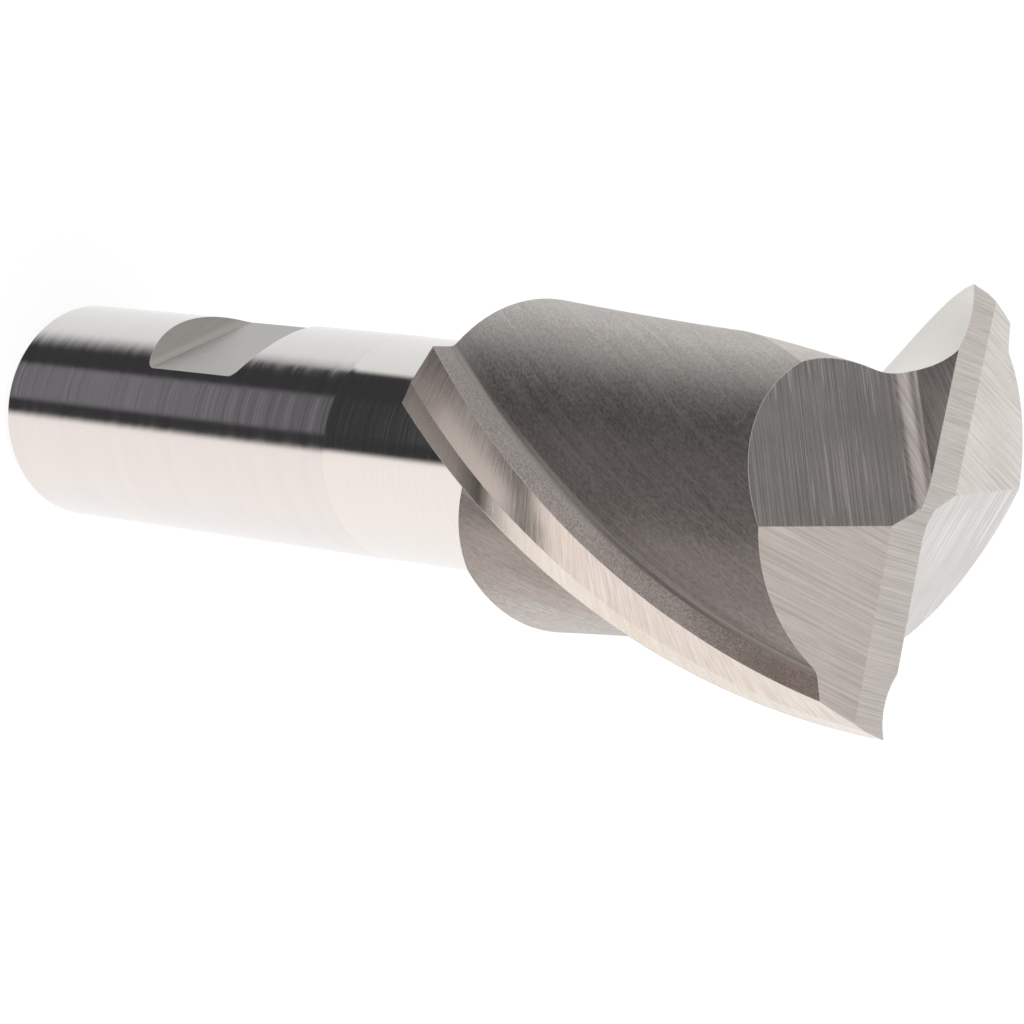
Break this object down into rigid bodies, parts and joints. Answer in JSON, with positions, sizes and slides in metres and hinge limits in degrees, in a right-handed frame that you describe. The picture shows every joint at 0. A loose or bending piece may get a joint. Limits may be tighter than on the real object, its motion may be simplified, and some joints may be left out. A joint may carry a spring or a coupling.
{
  "type": "square end mill",
  "caption": "Square-ended centre-cutting milling cutter: helical fluted head on a smaller straight shank with a clamping flat.",
  "frame": {"origin": "centre of the shank's rear face, which the tool stands on", "axes": "+Z along the tool's axis to the cutting end, +X through the first tooth's outer cutting corner"},
  "size_m": [0.035, 0.035, 0.108],
  "materials": {
    "ground_steel": "ground bright, with darker milled flutes"
  },
  "bodies": {
    "root": {"end_mill": "ground_steel"}
  },
  "joints": []
}
